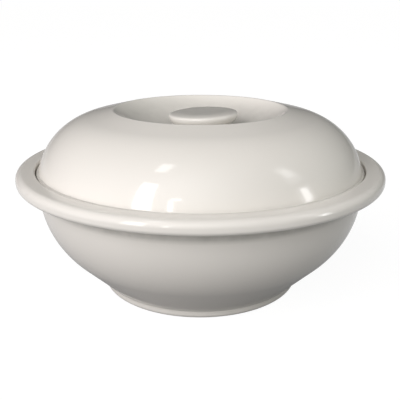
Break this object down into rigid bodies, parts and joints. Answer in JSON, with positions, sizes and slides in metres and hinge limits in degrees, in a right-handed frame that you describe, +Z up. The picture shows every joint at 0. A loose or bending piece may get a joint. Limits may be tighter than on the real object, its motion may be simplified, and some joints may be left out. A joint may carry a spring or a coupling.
{
  "type": "lidded donburi bowl",
  "caption": "Round glazed porcelain bowl with a thick rolled rim and a foot ring, and a domed lid that sits on a ledge inside the rim and lifts off by a button knob set in a well.",
  "frame": {"origin": "centre of the foot ring, on the table", "axes": "+Z up along the bowl's axis; +X towards the side that the knob leans away from and stands off to; +Y to the back as pictured"},
  "size_m": [0.18, 0.18, 0.0888],
  "materials": {
    "white_glaze": "glossy warm white glaze, bare and matt on the standing face of the foot ring and on the lid's seat"
  },
  "bodies": {
    "bowl": {"bowl": "white_glaze"},
    "lid": {"lid": "white_glaze", "lid_knob": "white_glaze"}
  },
  "joints": [
    {"name": "lid_lift", "type": "slide", "parent": "bowl", "child": "lid", "axis": [0, 0, 1], "range_m": [0, 0.1]}
  ]
}
